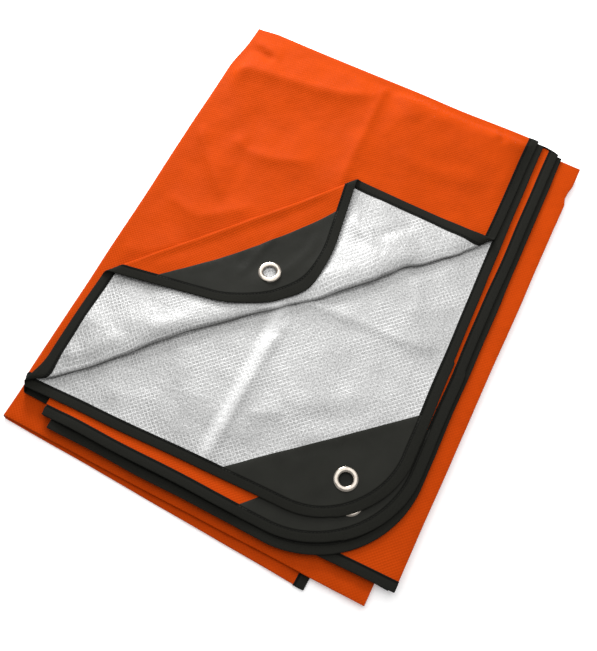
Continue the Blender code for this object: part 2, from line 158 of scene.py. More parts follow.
# How high the flap comes to lie on the top ply, and the tip on the flap, and the lengths over which
# they settle. The flap drifts out, and follows the roll's wander less and less, over lengths too.
FLAP_REST, FLAP_SETTLE = 2.0, 35.0
TIP_REST, TIP_SETTLE = 2.3, 30.0
FLAP_DRIFT, DRIFT_LENGTH, WANDER_LENGTH = 6.0, 45.0, 22.0
# The lengths over which the creases of a layer die out towards a roll. Those of the second ply begin
# just under the back roll.
TOP_CALM, SECOND_CALM, FLAP_CALM, FLAP_TIP_CALM, TIP_CALM = 14.0, 14.0, 12.0, 10.0, 8.0
SECOND_LEAD = 6.0

# The main creases of each layer, listed one by one. A ridge is a soft hump along its line, a crest is
# sharper with long slopes, and both are troughs where the height is under zero.
Ridge = namedtuple("Ridge", "height width line")
Crest = namedtuple("Crest", "height width line")
CREASES = {
    "top": (
        Crest(7.2, 20, (
            (-8, -92), (8, -78), (27, -66), (47, -63), (89, -57), (131, -50), (160, -39), (184, -18),
        )),
        Crest(4.2, 10, ((174, -8), (174, -30), (175, -70), (177, -120), (184, -190))),
        Crest(-3.5, 5, ((2, -26), (16, -37), (30, -40), (48, -43))),
        Crest(2.6, 6, ((0, -18), (18, -29), (34, -33), (52, -38))),
        Ridge(4.0, 58, ((170, -30), (260, -40), (380, -44))),
        Crest(4.4, 26, ((182, -20), (222, -32), (262, -31), (306, -29), (356, -24))),
        Ridge(-2.2, 4, ((308, -10), (313, -21), (319, -31))),
        Crest(1.8, 5, ((300, -8), (306, -19), (312, -30))),
        Crest(1.3, 8, ((184, -18), (203, -31), (226, -47))),
        Crest(2.2, 6, ((7, -149), (25, -173), (42, -190), (80, -230))),
        Crest(3.0, 10, ((45, -148), (72, -160), (100, -158), (150, -140))),
        Crest(-2.0, 9, ((55, -95), (68, -140), (76, -190), (80, -250))),
        Crest(3.0, 10, ((15, -246), (62, -256), (120, -212))),
        Crest(2.4, 12, ((4, -322), (34, -318), (70, -282))),
        Ridge(1.1, 10, ((210, -88), (262, -96), (330, -78))),
    ),
    "second": (
        Crest(2.4, 8, ((199, -302), (198, -345), (196, -400), (198, -500))),
        Ridge(1.3, 9, ((192, -318), (191, -400), (191, -500))),
        Crest(-2.2, 6, ((188, -303), (193, -320), (197, -343))),
        Crest(1.9, 5, ((196, -296), (206, -290), (256, -287), (306, -285), (366, -276))),
        Crest(1.6, 8, ((208, -423), (226, -413), (242, -405))),
        Ridge(1.3, 12, ((236, -400), (276, -376), (322, -334))),
        Ridge(1.1, 10, ((252, -430), (300, -396), (345, -352))),
        Crest(1.0, 10, ((294, -212), (306, -230), (312, -260))),
        Crest(-1.4, 6, ((366, -273), (354, -281), (340, -285))),
        Crest(-1.2, 6, ((362, -298), (347, -306), (332, -311))),
    ),
    "flap": (
        Crest(-2.0, 4, ((234, -197), (247, -188), (262, -172), (274, -158))),
        Crest(-1.6, 3.5, ((220, -200), (233, -206), (246, -207), (260, -202))),
        Crest(1.2, 10, ((204, -186), (226, -192), (250, -195))),
        Crest(2.2, 12, ((14, -452), (34, -448), (50, -430), (58, -400))),
        Ridge(0.5, 12, ((60, -372), (90, -380), (120, -362))),
    ),
    "tip": (
        Ridge(-2.2, 6, ((28, -338), (84, -284), (129, -235), (189, -160))),
        Ridge(0.9, 4, ((153, -226), (143, -258), (134, -305))),
        Ridge(0.8, 4, ((186, -214), (187, -240), (176, -270), (150, -300))),
    ),
}
LAYER_SEEDS = {"top": 3.1, "second": 17.7, "flap": 41.3, "tip": 77.9, "pile": 5.5}
CREST_TIP = 1.0
DEEPEST = 1.25

# How uneven a layer is: the spacing of each size of wave, what it adds to the seed, and its height.
WAVES = ((60, 0, 1.2), (22, 9, 0.8), (9, 23, 0.22))
PILE_WAVE, PILE_WAVE_SPACING = 1.5, 75
WANDER, WANDER_SPACING = 0.9, 55
# The lowest plies ripple beyond the foot of those over them: from which Y, and with which seed.
RIPPLES = {9: (-511, 0.0), 12: (-511, 0.0), 13: (-531, 6.3), 16: (-531, 6.3)}
RIPPLE_RISE, RIPPLE_LIFT, RIPPLE_HEIGHT = 12, 1.0, 1.3
RIPPLE_WIDTH, RIPPLE_LENGTH = 12, 25
# The foot of ply 3 curls up from a Y down, between two Xs, and dies out towards both.
CURL_HEIGHT, CURL_FROM, CURL_LENGTH = 2.4, -488, 20
CURL_LEFT, CURL_RIGHT, CURL_LEFT_FADE, CURL_RIGHT_FADE = 38, 268, 25, 40
NICKED = (5, 6)
NICK_DEPTH, NICK_Y, NICK_HALF, NICK_FROM, NICK_FADE = 3.2, -50, 7, 385, 15

# The folds, each between an upper and a lower ply. A left fold bulges by SIDE_BULGE of a half circle,
# and by LEAST_BULGE of that at the head. The two folds at the head bulge by TOP_BULGE and SECOND_BULGE.
# Both kinds narrow to a corner over the first LEFT_EASE or HEAD_EASE points.
LEFT_FOLDS = ((1, 8), (2, 7), (3, 6), (4, 5))
LOWEST_LEFT_FOLD = (9, 16)
RIGHT_FOLDS = ((5, 6), (7, 8))
FOOT_FOLDS = ((9, 12), (13, 16))
TOP_BULGE, SECOND_BULGE = 6.0, 1.2
SIDE_BULGE, LEAST_BULGE = 0.78, 0.15
LEFT_EASE, HEAD_EASE = 4, 3.5
FOOT_EASE_FROM, FOOT_EASE = -2.5, 14
LEFT_STEPS, RIGHT_STEPS, HEAD_STEPS = 12, 6, 14


def lerp(a, b, f):
    return a + (b - a) * f


def smooth(f):
    f = max(0.0, min(1.0, f))
    return f * f * (3 - 2 * f)


def on_diagonals(x, y):
    """A place on a ply as its distance out towards the corner and its distance across."""
    return (x - y) * DIAGONAL, (x + y) * DIAGONAL


def off_diagonals(out, across):
    return (out + across) * DIAGONAL, (across - out) * DIAGONAL


def crease_height(crease, x, y):
    """What one crease adds at a point. It fades out over a fifth of its line at each end."""
    gap, run = math.inf, 0.0
    pairs = list(zip(crease.line, crease.line[1:]))
    for i, ((x0, y0), (x1, y1)) in enumerate(pairs):
        dx, dy, px, py = x1 - x0, y1 - y0, x - x0, y - y0
        f = max(0.0, min(1.0, (px * dx + py * dy) / (dx * dx + dy * dy)))
        found = math.hypot(px - dx * f, py - dy * f)
        if found < gap:
            gap, run = found, (i + f) / len(pairs)
    fade = smooth(min(run, 1 - run) * 5)
    if isinstance(crease, Crest):
        return crease.height * math.exp((CREST_TIP - math.hypot(gap, CREST_TIP)) / crease.width) * fade
    return crease.height * math.exp(-((gap / crease.width) ** 2)) * fade


def waviness(layer, x, y):
    """Soft unevenness: broad, middling and fine."""
    return sum(
        height * noise.noise(Vector((x / spacing, y / spacing, LAYER_SEEDS[layer] + shift)))
        for spacing, shift, height in WAVES
    )


def relief(layer, x, y):
    """The unevenness of a layer at a point, with its hollows kept off the layer below."""
    height = waviness(layer, x, y) + sum(crease_height(crease, x, y) for crease in CREASES[layer])
    return height if height > 0 else -DEEPEST * math.tanh(-height / DEEPEST)


def pile_wave(z, x, y):
    """The whole pile is a little uneven, and more so towards its top."""
    place = Vector((x / PILE_WAVE_SPACING, y / PILE_WAVE_SPACING, LAYER_SEEDS["pile"]))
    return PILE_WAVE * z / PLIES[1].z * noise.noise(place)


def foot_ripple(number, x, y):
    """The two lowest folds lift and ripple a little where nothing lies on them."""
    if number not in RIPPLES:
        return 0.0
    start, seed = RIPPLES[number]
    ripple = noise.noise(Vector((x / RIPPLE_WIDTH, y / RIPPLE_LENGTH, seed)))
    return smooth((start - y) / RIPPLE_RISE) * (RIPPLE_LIFT + RIPPLE_HEIGHT * ripple)


def foot_curl(number, x, y):
    """The foot of ply 3 curls up a little where it shows beyond the two plies over it."""
    if number != 3:
        return 0.0
    up = CURL_HEIGHT * smooth((CURL_FROM - y) / CURL_LENGTH)
    return up * smooth((x - CURL_LEFT) / CURL_LEFT_FADE) * smooth((CURL_RIGHT - x) / CURL_RIGHT_FADE)


def wobble(number, x, y):
    """A ply's edges wander a little in plan, and plies 5 and 6 have a nick in their right fold."""
    nick, seed = 0.0, number * 3.7
    if number in NICKED:
        nick = NICK_DEPTH * math.exp(-(((y - NICK_Y) / NICK_HALF) ** 2))
        nick *= smooth((x - NICK_FROM) / NICK_FADE)
    return Vector((
        WANDER * noise.noise(Vector((seed, y / WANDER_SPACING, 1.5))) - nick,
        WANDER * noise.noise(Vector((x / WANDER_SPACING, seed, 8.5))),
        0.0,
    ))


def drawn(y):
    """0 at the head, where the folded left edge is drawn in, and 1 from a little below it."""
    return smooth((-y - DRAWN_FROM) / (DRAWN_TO - DRAWN_FROM))


def left_x(ply, y):
    return lerp(ply.left_head, lerp(ply.left_top, ply.left_foot, -y / PLY_LENGTH), drawn(y))


def right_x(ply, y, inset=0.0):
    return lerp(ply.right_top, ply.right_foot, -y / PLY_LENGTH) - inset


def foot_y(ply, x, inset=0.0):
    return lerp(ply.foot_left, ply.foot_right, x / PLY_WIDTH) + inset


def edge_fade(ply, x, y):
    """0 at the edges of a ply, rising to 1 further in."""
    inset = min(x - left_x(ply, y), ply.head - y, right_x(ply, y) - x, y - foot_y(ply, x))
    return smooth(inset / EDGE_FADE)


def flat_ply(number):
    """A function from a point of a ply to its place in the pile."""
    ply = PLIES[number]

    def place(x, y):
        z = ply.z + pile_wave(ply.z, x, y) + foot_ripple(number, x, y) + foot_curl(number, x, y)
        if number == 2:
            shown = smooth((on_diagonals(x, y)[0] - BACK_ROLL.out + SECOND_LEAD) / SECOND_CALM)
            z += relief("second", x, y) * edge_fade(ply, x, y) * shown
        return Vector((x, y, z)) + wobble(number, x, y)

    return place


def along_row(row, place):
    """The value of a row of (place, value) pairs at a place, eased between them."""
    if place <= row[0][0]:
        return row[0][1]
    for (a, low), (b, high) in zip(row, row[1:]):
        if place <= b:
            return lerp(low, high, smooth((place - a) / (b - a)))
    return row[-1][1]


def bow(across):
    return along_row(BOW, across)


def tip_distance(out, across):
    """How far a place is past the start of the tip roll."""
    start = TIP_ROLL.out + TIP_ROLL.slope * (across - TIP_ROLL.across)
    return (out - start) / math.hypot(1, TIP_ROLL.slope)


def over_tip(past):
    """For a length past the tip roll: how far it is drawn back, and how high it lies on the flap."""
    radius = TIP_ROLL.radius
    angle = min(past / radius, math.pi)
    beyond = max(0.0, past - math.pi * radius)
    height = radius * (1 - math.cos(angle))
    if beyond > 0:
        height = TIP_REST + (2 * radius - TIP_REST) * math.exp(-beyond / TIP_SETTLE)
    return (past - radius * math.sin(angle) + beyond) / math.hypot(1, TIP_ROLL.slope), height


def over_roll(beyond, across):
    """For a length round the back roll: how far out it lies from the roll's start, and how high."""
    angle = beyond / BACK_ROLL.radius
    height = BACK_ROLL.radius * (1 - math.cos(angle)) * along_row(PRESS, across)
    return BACK_ROLL.radius * math.sin(angle), height


def on_flap(run, across):
    """For a length behind the back roll: how far out it lies from the roll's start, and how high."""
    behind = max(run, 0.0)
    out = FLAP_DRIFT * (1 - math.exp(-behind / DRIFT_LENGTH)) - run
    out -= 2 * bow(across) * (1 - math.exp(-behind / WANDER_LENGTH))
    rolled = 2 * BACK_ROLL.radius * along_row(PRESS, across)
    reach = behind / SWELL_AT
    swell = along_row(SWELL, across) * reach * math.exp(1 - reach)
    return out, lerp(FLAP_REST, rolled, math.exp(-behind / FLAP_SETTLE)) + swell


def turned_ply(x, y):
    """The top ply: flat to the back roll, over it, back as a flap, and forward again at the tip."""
    wander = wobble(1, x, y)
    side = edge_fade(PLIES[1], x, y)
    out, across = on_diagonals(x, y)
    past_tip = tip_distance(out, across)
    tip_height = 0.0
    if past_tip > 0:
        back, tip_height = over_tip(past_tip)
        out -= back
        across += back * TIP_ROLL.slope
    start = BACK_ROLL.out + bow(across)
    beyond = out - start
    if past_tip <= 0 and beyond <= 0:
        z = PLIES[1].z + relief("top", x, y) * side * smooth(-beyond / TOP_CALM)
        return Vector((x, y, z + pile_wave(z, x, y))) + wander
    run = beyond - math.pi * BACK_ROLL.radius
    rolling = past_tip <= 0 and run < 0
    shift, height = over_roll(beyond, across) if rolling else on_flap(run, across)
    place = Vector((*off_diagonals(start + shift, across), PLIES[1].z + height + tip_height))
    if not rolling:
        flap = smooth(run / FLAP_CALM) * smooth(-past_tip / FLAP_TIP_CALM)
        tip = smooth((past_tip - math.pi * TIP_ROLL.radius) / TIP_CALM)
        creases = relief("flap", place.x, place.y) * flap + relief("tip", place.x, place.y) * tip
        place.z += creases * side
    place.z += pile_wave(place.z, place.x, place.y)
    return place + Vector((-wander.y, -wander.x, 0))


PLACE = {number: turned_ply if number == 1 else flat_ply(number) for number in PLIES}


def square_corner(ply, inset, rounds=4):
    """Where the foot and the right side would meet if the corner weren't rounded."""
    x, y = ply.right_foot - inset, ply.foot_right + inset
    for _ in range(rounds):
        x = right_x(ply, y, inset)
        y = foot_y(ply, x, inset)
    return x, y


Spot = namedtuple("Spot", "place flat half")


def spot(number, point, half):
    return Spot(PLACE[number](*point), point, half)


def half_gap(upper, lower):
    return (PLIES[upper].z - PLIES[lower].z) / 2


def round_fold(upper, lower, bulge, steps, shape):
    """Rows of places round a fold from one row of spots to another, each with the length gone round.

    shape scales the bulge along the row."""
    rows = []
    for j in range(steps + 1):
        angle = math.pi * j / steps
        row = []
        for a, b, share in zip(upper, lower, shape):
            middle, arm = (a.place + b.place) / 2, (a.place - b.place) / 2
            place = middle + arm * math.cos(angle) + Vector(bulge) * math.sin(angle) * share
            row.append((place, arm.length * angle))
        rows.append(row)
    return rows


def inside(point, loop):
    """Whether a point is inside a loop: a line from it crosses the loop an odd number of times."""
    crossings = False
    for (x0, y0), (x1, y1) in zip(loop, loop[1:] + loop[:1]):
        if (y0 > point[1]) != (y1 > point[1]):
            crossings ^= point[0] < x0 + (point[1] - y0) * (x1 - x0) / (y1 - y0)
    return crossings


class Cloth:
    """A mid-surface that grows by regions and folds and is welded where they meet."""

    LEAST_AREA = 0.002
    WELDS = 1000

    def __init__(self):
        self.spots, self.index, self.faces = [], {}, []

    def vertex(self, found):
        """The index of a spot. Spots in the same thousandth of a millimetre are one."""
        key = tuple(round(length * self.WELDS) for length in found.place)
        if key not in self.index:
            self.index[key] = len(self.spots)
            self.spots.append(found)
        return self.index[key]

    def face(self, corners):
        ids = [(self.vertex(corner), corner.flat) for corner in corners]
        ids = [a for a, b in zip(ids, ids[1:] + ids[:1]) if a[0] != b[0]]
        if len(ids) > 2:
            self.faces.append(ids)

    def rows(self, rows):
        """Joins each row of spots to the next."""
        for one, two in zip(rows, rows[1:]):
            for corners in zip(one, one[1:], two[1:], two):
                self.face(corners)

    def region(self, number, outline, extra, half, hole=()):
        """Fills an outline on a ply, less a hole. half gives half the thickness at a point."""
        flat, edges = [], []
        for loop in filter(None, (list(outline), list(hole))):
            first = len(flat)
            flat += loop
            edges += [(first + i, first + (i + 1) % len(loop)) for i in range(len(loop))]
        flat += [point for point in extra if inside(point, outline)]
        found = delaunay_2d_cdt([Vector(p) for p in flat], edges, [], 0, 1e-4)
        spots = [spot(number, tuple(point), half(*point)) for point in found[0]]
        for corners in found[2]:
            points = [found[0][i] for i in corners]
            middle = sum(points, Vector((0, 0))) / 3
            if area_tri(*points) < self.LEAST_AREA or not inside(middle, outline):
                continue
            if not (hole and inside(middle, hole)):
                self.face([spots[i] for i in corners])

    def fold(self, upper, lower, bulge, steps, shape=None):
        """The sheet's fold from one row of spots round to another."""
        way = Vector(bulge).normalized()
        rows = [
            [
                Spot(place, (a.flat[0] + way.x * length, a.flat[1] + way.y * length), a.half)
                for (place, length), a in zip(row, upper)
            ]
            for row in round_fold(upper, lower, bulge, steps, shape or [1.0] * len(upper))
        ]
        rows[0], rows[-1] = upper, [Spot(b.place, r.flat, b.half) for r, b in zip(rows[-1], lower)]
        self.rows(rows)

    def finished(self, name, materials, first_looks_down=False):
        """This surface as a closed object. Its outer face has the first material, its inner the last."""
        shell = bmesh.new()
        corners = [shell.verts.new(found.place) for found in self.spots]
        flats = shell.loops.layers.uv.new("flat")
        for ids in self.faces:
            face = shell.faces.new([corners[i] for i, _ in ids])
            for loop, (_, flat) in zip(face.loops, ids):
                loop[flats].uv = Vector(flat) * MM
        bmesh.ops.recalc_face_normals(shell, faces=shell.faces)
        shell.faces.ensure_lookup_table()
        if first_looks_down == (shell.faces[0].normal.z > 0):
            bmesh.ops.reverse_faces(shell, faces=shell.faces)
        shell.normal_update()
        shell.verts.index_update()
        solid = bmesh.new()
        uvs = solid.loops.layers.uv.new("flat")
        sides = [
            [
                solid.verts.new((v.co + v.normal * side * found.half + PILE_CORNER) * MM)
                for v, found in zip(shell.verts, self.spots)
            ]
            for side in (1, -1)
        ]
        for face in shell.faces:
            loops = list(face.loops)
            for side, order in enumerate((loops, loops[::-1])):
                made = solid.faces.new([sides[side][loop.vert.index] for loop in order])
                made.material_index = side if len(materials) > 1 else 0
                made.smooth = True
                for new, old in zip(made.loops, order):
                    new[uvs].uv = old[flats].uv
        for edge in shell.edges:
            if len(edge.link_faces) != 1:
                continue
            first, last = edge.link_loops[0], edge.link_loops[0].link_loop_next
            ends = ((last, 0), (first, 0), (first, 1), (last, 1))
            rim = solid.faces.new([sides[side][loop.vert.index] for loop, side in ends])
            for new, (old, _) in zip(rim.loops, ends):
                new[uvs].uv = old[flats].uv
            for bound in rim.edges:
                bound.smooth = False
        shell.free()
        return as_object(name, solid, materials)


def as_object(name, mesh, materials):
    data = bpy.data.meshes.new(name)
    mesh.to_mesh(data)
    mesh.free()
    for material in materials:
        data.materials.append(material)
    made = bpy.data.objects.new(name, data)
    bpy.context.scene.collection.objects.link(made)
    return made


class Shade:
    """A socket in a shader. Arithmetic on it adds Math nodes, and node() adds any other node."""

    def __init__(self, tree, socket=None):
        self.tree, self.socket = tree, socket

    def node(self, kind, output=0, settings=None, **sockets):
        made = self.tree.nodes.new(kind)
        for name, value in (settings or {}).items():
            setattr(made, name, value)
        for name, value in sockets.items():
            key = int(name[1:]) if name[1:].isdigit() else name.replace("_", " ")
            if isinstance(value, Shade):
                self.tree.links.new(value.socket, made.inputs[key])
            else:
                made.inputs[key].default_value = value
        return Shade(self.tree, made.outputs[output])

    def maths(self, operation, *values):
        sockets = {f"i{i}": value for i, value in enumerate(values)}
        return self.node("ShaderNodeMath", settings={"operation": operation}, **sockets)

    def __add__(self, other):
        return self.maths("ADD", self, other)

    def __sub__(self, other):
        return self.maths("SUBTRACT", self, other)

    def __rsub__(self, other):
        return self.maths("SUBTRACT", other, self)

    def __mul__(self, other):
        return self.maths("MULTIPLY", self, other)

    def __truediv__(self, other):
        return self.maths("DIVIDE", self, other)

    __radd__ = __add__
    __rmul__ = __mul__

    def larger(self, other):
        return self.maths("MAXIMUM", self, other)

    def smaller(self, other):
        return self.maths("MINIMUM", self, other)

    def thread(self, pitch, width):
        """1 along the middle of lines at a pitch across this length, falling to 0 at half a width."""
        offset = self.maths("PINGPONG", self, pitch / 2)
        return (1 - offset / (width / 2)).larger(0.0)

    def noise(self, place, scale, detail=2.0):
        return self.node("ShaderNodeTexNoise", i0=place, Scale=scale, Detail=detail)

    def blend(self, dark, light):
        """A colour between two, by this value."""
        return self.node(
            "ShaderNodeMix", 2, {"data_type": "RGBA"}, i0=self, i6=(*dark, 1), i7=(*light, 1),
        )

    def bumped(self, distance, strength):
        return self.node("ShaderNodeBump", Height=self, Distance=distance, Strength=strength)


def new_material(name, **constants):
    """A material, its Principled shader with constants set, and a starting Shade."""
    material = bpy.data.materials.new(name)
    material.use_nodes = True
    shader = material.node_tree.nodes["Principled BSDF"]
    for key, value in constants.items():
        shader.inputs[key.replace("_", " ")].default_value = value
    return material, Shade(material.node_tree)


def connect(material, **links):
    """Links what varies to the material's shader."""
    shader = material.node_tree.nodes["Principled BSDF"]
    for key, value in links.items():
        material.node_tree.links.new(value.socket, shader.inputs[key.replace("_", " ")])
    return material


def flat_lengths(start):
    """Where a point lies on the flat cloth: the place, and its two lengths in millimetres."""
    place = start.node("ShaderNodeUVMap", settings={"uv_map": "flat"})
    x, y = (place.node("ShaderNodeSeparateXYZ", axis, i0=place) * (1 / MM) for axis in (0, 1))
    return place, x, y


ORANGE_DARK, ORANGE_LIGHT = (0.33, 0.033, 0.001), (0.475, 0.05, 0.002)
ORANGE_PITCH, ORANGE_THREAD = 2.5, 1.6
FILM_DARK, FILM_LIGHT = (0.205, 0.205, 0.202), (0.60, 0.60, 0.595)
FILM_PITCH, FILM_THREAD = 3.6, 1.2
# A painted highlight along the ridge of the lengthwise fold at mid-width: the film is painted lighter
# and less metallic in a band centred on this X, out to this half width. The fold's ridge itself is in
# CREASES.
FOLD_HIGHLIGHT_X, FOLD_HIGHLIGHT_HALF = 189.0, 9.0


def orange_coating():
    material, start = new_material("orange_coating", Specular_IOR_Level=0.02)
    place, x, y = flat_lengths(start)
    u, v = on_diagonals(x, y)
    weave = (u.thread(ORANGE_PITCH, ORANGE_THREAD) + v.thread(ORANGE_PITCH, ORANGE_THREAD)) * 0.5
    mottle = start.noise(place, 28.0, 3.0)
    crumple = start.noise(place, 120.0, 3.0)
    tone = (mottle * 0.6 + crumple * 0.2 + weave * 0.45 - 0.02).smaller(1.0)
    return connect(
        material,
        Base_Color=tone.blend(ORANGE_DARK, ORANGE_LIGHT),
        Roughness=0.5 + mottle * 0.16,
        Normal=(weave + crumple * 1.3).bumped(0.0003, 0.8),
    )


def silver_film():
    material, start = new_material("silver_film")
    place, x, y = flat_lengths(start)
    u, v = on_diagonals(x, y)
    grid = u.thread(FILM_PITCH, FILM_THREAD).larger(v.thread(FILM_PITCH, FILM_THREAD))
    crackle = start.noise(place, 650.0, 4.0)
    crumple = start.noise(place, 200.0, 3.0)
    worn = (start.noise(place, 22.0, 2.0) * 3.0 - 0.9).larger(0.25).smaller(1.0)
    # Painted highlight: lighter and less metallic along the ridge of the lengthwise fold.
    fold_highlight = (1 - start.maths("ABSOLUTE", x - FOLD_HIGHLIGHT_X) / FOLD_HIGHLIGHT_HALF).larger(0.0)
    tone = (grid * worn * 0.6 + crackle * 1.7 + fold_highlight * 0.5 - 0.58).larger(0.0).smaller(1.0)
    return connect(
        material,
        Base_Color=tone.blend(FILM_DARK, FILM_LIGHT),
        Metallic=0.66 - grid * 0.3 - fold_highlight * 0.3,
        Roughness=0.44 + crumple * 0.14,
        Normal=(grid * worn * 0.6 + crackle * 0.5 + crumple * 2.4).bumped(0.0003, 0.75),
    )


def edge_points(a, b, count):
    """Evenly spaced points from one end of a line to the other."""
    return [tuple(lerp(p, q, i / count) for p, q in zip(a, b)) for i in range(count + 1)]


EDGE_COUNT, END_COUNT = 60, 44
TAPE_STEP = 2.5
# The plies with tape along the foot and up the right side.
FOOT_BOUND = (1, 2, 3, 4, 5, 6, 7, 8)
SIDE_BOUND = (1, 2, 3, 4, 13, 16)


def sheet_inset(number, bound):
    """How far the sheet's edge lies inside the ply's: a little on the plies that are bound there."""
    return SHEET_UNDER_TAPE if number in bound else 0.0


def foot_rounding(inset):
    """The left folds bulge less towards the foot, which rounds the corner there."""
    return smooth((inset - FOOT_EASE_FROM) / FOOT_EASE)


def left_edge(number):
    """The folded left edge of a ply's sheet, from the head down."""
    ply = PLIES[number]
    foot = foot_y(ply, left_x(ply, ply.foot_left), sheet_inset(number, FOOT_BOUND))
    rows = [lerp(ply.head, foot, i / EDGE_COUNT) for i in range(EDGE_COUNT + 1)]
    return [(left_x(ply, y), y) for y in rows]


def right_edge(number):
    """The right edge of a ply's sheet, from the head down."""
    ply, inset = PLIES[number], sheet_inset(number, SIDE_BOUND)
    x, _ = square_corner(ply, inset)
    foot = foot_y(ply, x, sheet_inset(number, FOOT_BOUND))
    return edge_points((right_x(ply, ply.head, inset), ply.head), (x, foot), EDGE_COUNT)


def foot_edge(number):
    """The folded foot of a ply's sheet, from the left."""
    return edge_points(left_edge(number)[-1], right_edge(number)[-1], END_COUNT)


def head_edge(number):
    """The folded head of a ply's sheet, from the left."""
    return edge_points(left_edge(number)[0], right_edge(number)[0], END_COUNT)


def around(centre, radius, angles):
    """Points round a centre, at angles."""
    return [(centre[0] + radius * math.cos(a), centre[1] + radius * math.sin(a)) for a in angles]


def border(number, inset):
    """From the folded left edge along the foot, round the corner and up the side, at an inset."""
    ply, radius = PLIES[number], CORNERS[number].radius - inset
    outer = square_corner(ply, 0.0)
    x, y = square_corner(ply, inset)
    centre = (right_x(ply, y + radius, inset) - radius, foot_y(ply, x - radius, inset) + radius)
    first = left_x(ply, ply.foot_left)
    begin, end = (first, foot_y(ply, first, inset)), (right_x(ply, ply.head, inset), ply.head)
    along = edge_points(begin, (centre[0], centre[1] - radius), round((outer[0] - first) / TAPE_STEP))
    turns = round(CORNERS[number].radius * math.pi / 2 / TAPE_STEP)
    arc = around(centre, radius, [math.pi / 2 * (i / turns - 1) for i in range(1, turns)])
    up = edge_points((centre[0] + radius, centre[1]), end, round(-outer[1] / TAPE_STEP))
    return along + arc + up


def grommet_spot(number):
    ply, corner = PLIES[number], CORNERS[number]
    x, y = square_corner(ply, 0.0)
    return x - corner.grommet_in, y + corner.grommet_up


def sheet_outline(number):
    """The ply's sheet, out to its folds and under the binding. Bound corners are rounded."""
    left, right = left_edge(number), right_edge(number)
    head = edge_points(right[0], left[0], END_COUNT)[1:-1]
    if number in CORNERS:
        return left + border(number, SHEET_UNDER_TAPE)[1:-1] + [right[0]] + head
    return left + foot_edge(number)[1:-1] + right[::-1] + head


def grommet_hole(number):
    """The hole for the grommet's barrel in a ply's corner, if the corner is a bound one."""
    if number not in CORNERS:
        return ()
    angles = [2 * math.pi * i / HOLE_POINTS for i in range(HOLE_POINTS)]
    return around(grommet_spot(number), GROMMET_BARREL + HOLE_SLACK, angles)


# Points lie in close rows over each roll: ROLL_ROWS round it and ROLL_SPARE more on each side.
ROLL_MARGIN = 3.0
ROLL_ROWS, ROLL_SPARE = 12, 2
ROLL_STEP, ROLL_FROM, ROLL_TO = 3.5, -130, 100
# The rest lie in a field from the head down. Its steps are where the ply shows and where it doesn't:
# it shows near its corner, and a lower ply only past the side or the foot of those over it.
FIELD_WIDTH, FIELD_LENGTH, FIELD_HEAD = 410, 560, -9.0
FIELD_STEPS = {1: (4.0, 4.0), 2: (4.0, 16.0)}
LOWER_STEPS = (8.0, 16.0)
SHOWN_CORNER, SHOWN_SIDE, SHOWN_FOOT = 440, 340, -440


def near_roll(point):
    out, across = on_diagonals(*point)
    beyond = ((BACK_ROLL, out - BACK_ROLL.out - bow(across)), (TIP_ROLL, tip_distance(out, across)))
    return any(-ROLL_MARGIN < gap < math.pi * roll.radius + ROLL_MARGIN for roll, gap in beyond)


def roll_points():
    """Close rows of points over both rolls of the top ply."""
    points = []
    for roll in (BACK_ROLL, TIP_ROLL):
        reach = math.pi * roll.radius
        for row in range(-ROLL_SPARE, ROLL_ROWS + ROLL_SPARE + 1):
            for step in range(ROLL_FROM, ROLL_TO):
                across = (step + row % 2 / 2) * ROLL_STEP
                out = roll.out + reach * row / ROLL_ROWS + roll.slope * (across - roll.across)
                out += bow(across) if roll is BACK_ROLL else 0.0
                points.append(off_diagonals(out, across))
    return points


def sheet_points(number):
    """Points all over a ply's sheet: close together where it shows, sparse where it is covered."""
    fine, coarse = FIELD_STEPS.get(number, LOWER_STEPS)
    every = round(coarse / fine)
    points = []
    for row in range(int(FIELD_LENGTH / fine)):
        for column in range(int(FIELD_WIDTH / fine)):
            x, y = (column + row % 2 / 2) * fine, FIELD_HEAD - row * fine
            past_rims = number <= 2 or x > SHOWN_SIDE or y < SHOWN_FOOT
            shown = number == 1 or (x - y > SHOWN_CORNER and past_rims)
            if shown or (row % every == 0 and column % every == 0):
                points.append((x, y))
    if number == 1:
        return [p for p in points if not near_roll(p)] + roll_points()
    return points


def clear_of(loop, points, least=1.2):
    """The points that aren't almost on an outline."""
    cells = set()
    for a, b in zip(loop, loop[1:] + loop[:1]):
        steps = max(1, round(math.dist(a, b) / least))
        cells.update((round(x / least), round(y / least)) for x, y in edge_points(a, b, steps)[:-1])
    near = ((0, 0), (1, 0), (-1, 0), (0, 1), (0, -1))
    return [
        (x, y) for x, y in points
        if not any((round(x / least) + i, round(y / least) + j) in cells for i, j in near)
    ]


def fold_sheet(pair, edge_of, bulge, steps, shape=None):
    """Folds the sheet round from one ply of a pair to the other, along the edge that both have."""
    rows = [[spot(number, point, SHEET_HALF) for point in edge_of(number)] for number in pair]
    sheet_cloth.fold(*rows, bulge, steps, shape)


sheet_cloth = Cloth()
for number in reversed(PLIES):
    outline, hole = sheet_outline(number), grommet_hole(number)
    points = clear_of(outline, sheet_points(number))
    points = clear_of(hole, points) if hole else points
    sheet_cloth.region(number, outline, points, lambda x, y: SHEET_HALF, hole)
for pair in (*LEFT_FOLDS, LOWEST_LEFT_FOLD):
    edge = left_edge(pair[0])
    shape = [
        lerp(LEAST_BULGE, 1, drawn(y)) * smooth((i + 0.5) / LEFT_EASE) for i, (_, y) in enumerate(edge)
    ]
    if pair in LEFT_FOLDS:
        shape = [f * foot_rounding(y - foot_y(PLIES[pair[0]], x)) for f, (x, y) in zip(shape, edge)]
    fold_sheet(pair, left_edge, (-half_gap(*pair) * SIDE_BULGE, 0, 0), LEFT_STEPS, shape)
for pair in RIGHT_FOLDS:
    fold_sheet(pair, right_edge, (half_gap(*pair), 0, 0), RIGHT_STEPS)
for pair in FOOT_FOLDS:
    fold_sheet(pair, foot_edge, (0, -half_gap(*pair), 0), RIGHT_STEPS)
